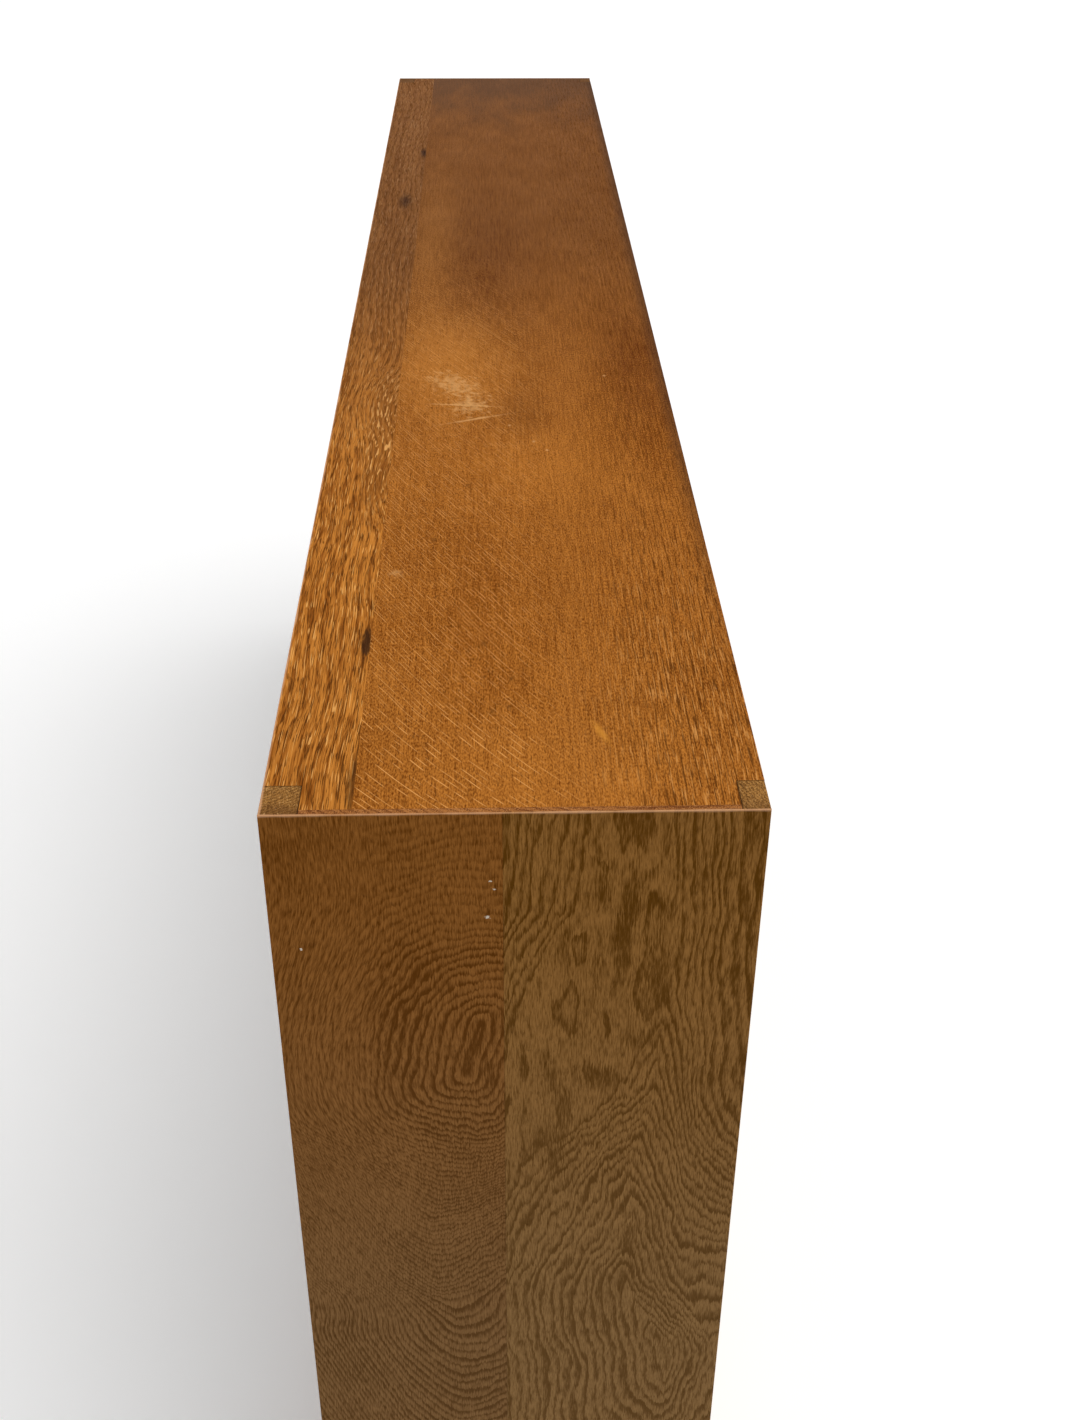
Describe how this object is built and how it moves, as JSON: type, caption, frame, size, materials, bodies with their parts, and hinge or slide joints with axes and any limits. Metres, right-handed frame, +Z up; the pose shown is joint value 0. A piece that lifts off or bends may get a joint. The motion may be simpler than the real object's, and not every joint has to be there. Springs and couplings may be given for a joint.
{
  "type": "bookcase cabinet",
  "caption": "Long low oak bookcase cabinet: lipped and veneered ends, a top let into them, sliding glass doors in tracks, adjustable shelves on brass studs and a set-back plinth.",
  "frame": {"origin": "on the floor, under the middle of the case", "axes": "+X to the right along the length, -Y towards the front with the doors, +Z up"},
  "size_m": [1.83, 0.28, 0.915],
  "materials": {
    "oak_veneer": "oiled and waxed oak veneer, worn satin",
    "oak_solid": "oiled and waxed solid oak, worn satin",
    "oak_board": "oak-faced board, satin",
    "back_plywood": "bare plywood",
    "softwood": "bare sawn softwood",
    "beech": "bare turned beech",
    "track_fibre": "dark brown pressed fibre, waxed",
    "plate_glass": "clear plate glass, ground edges",
    "stud_brass": "turned brass, dulled",
    "screw_steel": "plain steel, dulled"
  },
  "bodies": {
    "case": {"back_plinth": "softwood", "bottom_front_rail": "oak_solid", "bottom_panel": "oak_board", "bottom_spline": "back_plywood", "centre_bearer": "softwood", "front_plinth": "oak_solid", "glue_blocks": "softwood", "left_back_panel": "back_plywood", "left_back_screws": "screw_steel", "left_bottom_track": "track_fibre", "left_end_back_lipping": "oak_solid", "left_end_back_veneer": "oak_veneer", "left_end_front_lipping": "oak_solid", "left_end_front_veneer": "oak_veneer", "left_end_panel": "oak_board", "left_lower_studs": "stud_brass", "left_top_track": "track_fibre", "left_upper_studs": "stud_brass", "partition_lipping": "oak_solid", "partition_panel": "oak_board", "right_back_panel": "back_plywood", "right_back_screws": "screw_steel", "right_bottom_track": "track_fibre", "right_end_back_lipping": "oak_solid", "right_end_back_veneer": "oak_veneer", "right_end_front_lipping": "oak_solid", "right_end_front_veneer": "oak_veneer", "right_end_panel": "oak_board", "right_lower_studs": "stud_brass", "right_top_track": "track_fibre", "right_upper_studs": "stud_brass", "top_dowels": "beech", "top_front_rail": "oak_solid", "top_panel": "oak_board", "top_spline": "back_plywood", "top_veneer": "oak_veneer"},
    "left_front_door": {"left_front_door": "plate_glass"},
    "left_rear_door": {"left_rear_door": "plate_glass"},
    "right_front_door": {"right_front_door": "plate_glass"},
    "right_rear_door": {"right_rear_door": "plate_glass"},
    "left_lower_shelf": {"left_lower_shelf": "oak_board", "left_lower_shelf_lipping": "oak_solid"},
    "left_upper_shelf": {"left_upper_shelf": "oak_board", "left_upper_shelf_lipping": "oak_solid"},
    "right_lower_shelf": {"right_lower_shelf": "oak_board", "right_lower_shelf_lipping": "oak_solid"},
    "right_upper_shelf": {"right_upper_shelf": "oak_board", "right_upper_shelf_lipping": "oak_solid"}
  },
  "joints": [
    {"name": "left_front_door_slide", "type": "slide", "parent": "case", "child": "left_front_door", "axis": [1, 0, 0], "range_m": [-0.425, 0]},
    {"name": "left_rear_door_slide", "type": "slide", "parent": "case", "child": "left_rear_door", "axis": [1, 0, 0], "range_m": [0, 0.425]},
    {"name": "right_front_door_slide", "type": "slide", "parent": "case", "child": "right_front_door", "axis": [1, 0, 0], "range_m": [0, 0.425]},
    {"name": "right_rear_door_slide", "type": "slide", "parent": "case", "child": "right_rear_door", "axis": [1, 0, 0], "range_m": [-0.425, 0]},
    {"name": "left_lower_shelf_lift", "type": "slide", "parent": "case", "child": "left_lower_shelf", "axis": [0, 0, 1], "range_m": [0, 0.05]},
    {"name": "left_upper_shelf_lift", "type": "slide", "parent": "case", "child": "left_upper_shelf", "axis": [0, 0, 1], "range_m": [0, 0.05]},
    {"name": "right_lower_shelf_lift", "type": "slide", "parent": "case", "child": "right_lower_shelf", "axis": [0, 0, 1], "range_m": [0, 0.05]},
    {"name": "right_upper_shelf_lift", "type": "slide", "parent": "case", "child": "right_upper_shelf", "axis": [0, 0, 1], "range_m": [0, 0.05]}
  ]
}
